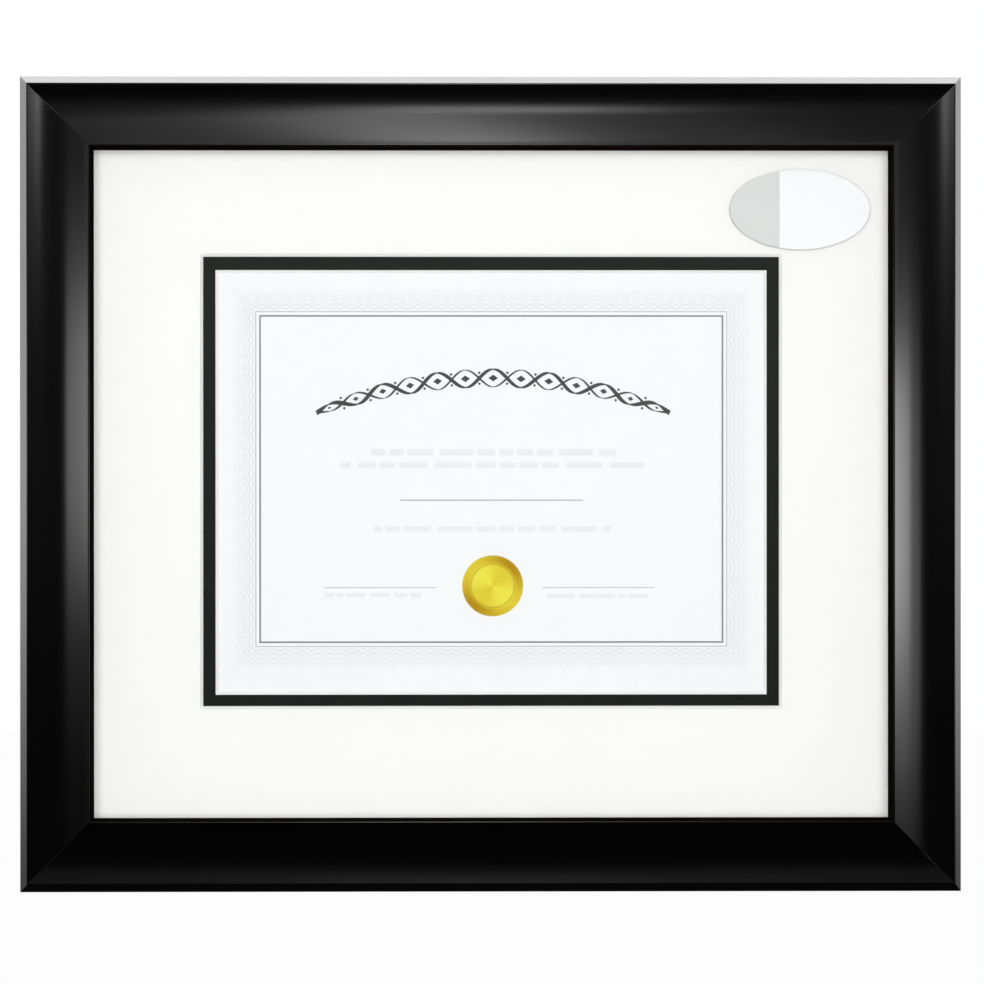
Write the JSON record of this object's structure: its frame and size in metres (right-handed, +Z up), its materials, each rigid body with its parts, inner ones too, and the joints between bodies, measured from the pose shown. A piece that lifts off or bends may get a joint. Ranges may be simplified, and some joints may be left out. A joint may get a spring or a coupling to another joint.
{
  "type": "certificate frame",
  "caption": "Landscape wall frame with a black scooped moulding, glass, two mats over a certificate, turn-button backing and ring hangers.",
  "frame": {"origin": "centre of the wall plane, which the rubber bumpers touch, in the middle of the frame's width and height", "axes": "+Z up, +X to the right as seen from the front, +Y towards the wall; the front faces -Y"},
  "size_m": [0.4736, 0.0277, 0.4102],
  "materials": {
    "black_lacquer": "satin black lacquer on wood",
    "nail_steel": "bare steel",
    "clear_glass": "clear picture glass",
    "label_paper": "matt two-tone paper",
    "white_mat": "smooth white mat board",
    "black_mat": "black mat board with a pale core",
    "certificate_paper": "heavy printed paper",
    "gold_foil": "embossed metallic foil",
    "linen_tape": "matt hinging tape",
    "mount_card": "off-white card",
    "hardboard": "brown pressed hardboard",
    "plated_steel": "nickel plated steel",
    "screw_steel": "zinc plated steel",
    "bumper_rubber": "soft black rubber"
  },
  "bodies": {
    "frame": {"top_rail": "black_lacquer", "bottom_rail": "black_lacquer", "left_rail": "black_lacquer", "right_rail": "black_lacquer", "corner_nails": "nail_steel", "glazing": "clear_glass", "glass_label": "label_paper", "top_mat": "white_mat", "liner_mat": "black_mat", "certificate_sheet": "certificate_paper", "foil_seal": "gold_foil", "hinge_tapes": "linen_tape", "mount_board": "mount_card", "backing_board": "hardboard", "turn_button_screws": "screw_steel", "hanger_strap_left": "plated_steel", "hanger_strap_right": "plated_steel", "hanger_screws": "screw_steel", "wall_bumpers": "bumper_rubber"},
    "turn_button_top_left": {"turn_button_top_left": "plated_steel"},
    "turn_button_top_right": {"turn_button_top_right": "plated_steel"},
    "turn_button_bottom_left": {"turn_button_bottom_left": "plated_steel"},
    "turn_button_bottom_right": {"turn_button_bottom_right": "plated_steel"},
    "turn_button_left_upper": {"turn_button_left_upper": "plated_steel"},
    "turn_button_left_lower": {"turn_button_left_lower": "plated_steel"},
    "turn_button_right_upper": {"turn_button_right_upper": "plated_steel"},
    "turn_button_right_lower": {"turn_button_right_lower": "plated_steel"},
    "hanger_ring_left": {"hanger_ring_left": "plated_steel"},
    "hanger_ring_right": {"hanger_ring_right": "plated_steel"}
  },
  "joints": [
    {"name": "turn_button_top_left_turn", "type": "hinge", "parent": "frame", "child": "turn_button_top_left", "pos_m": [-0.1016, -0.0043, 0.18105], "axis": [0, 1, 0], "continuous": true},
    {"name": "turn_button_top_right_turn", "type": "hinge", "parent": "frame", "child": "turn_button_top_right", "pos_m": [0.1016, -0.0043, 0.18105], "axis": [0, 1, 0], "continuous": true},
    {"name": "turn_button_bottom_left_turn", "type": "hinge", "parent": "frame", "child": "turn_button_bottom_left", "pos_m": [-0.1016, -0.0043, -0.18105], "axis": [0, 1, 0], "continuous": true},
    {"name": "turn_button_bottom_right_turn", "type": "hinge", "parent": "frame", "child": "turn_button_bottom_right", "pos_m": [0.1016, -0.0043, -0.18105], "axis": [0, 1, 0], "continuous": true},
    {"name": "turn_button_left_upper_turn", "type": "hinge", "parent": "frame", "child": "turn_button_left_upper", "pos_m": [-0.2128, -0.0043, 0.06172], "axis": [0, 1, 0], "continuous": true},
    {"name": "turn_button_left_lower_turn", "type": "hinge", "parent": "frame", "child": "turn_button_left_lower", "pos_m": [-0.2128, -0.0043, -0.06172], "axis": [0, 1, 0], "continuous": true},
    {"name": "turn_button_right_upper_turn", "type": "hinge", "parent": "frame", "child": "turn_button_right_upper", "pos_m": [0.2128, -0.0043, 0.06172], "axis": [0, 1, 0], "continuous": true},
    {"name": "turn_button_right_lower_turn", "type": "hinge", "parent": "frame", "child": "turn_button_right_lower", "pos_m": [0.2128, -0.0043, -0.06172], "axis": [0, 1, 0], "continuous": true},
    {"name": "hanger_ring_left_swing", "type": "hinge", "parent": "frame", "child": "hanger_ring_left", "pos_m": [-0.22082, -0.00302, 0.1171], "axis": [-1, 0, 0], "range_deg": [0, 175]},
    {"name": "hanger_ring_right_swing", "type": "hinge", "parent": "frame", "child": "hanger_ring_right", "pos_m": [0.22082, -0.00302, 0.1171], "axis": [-1, 0, 0], "range_deg": [0, 175]}
  ]
}
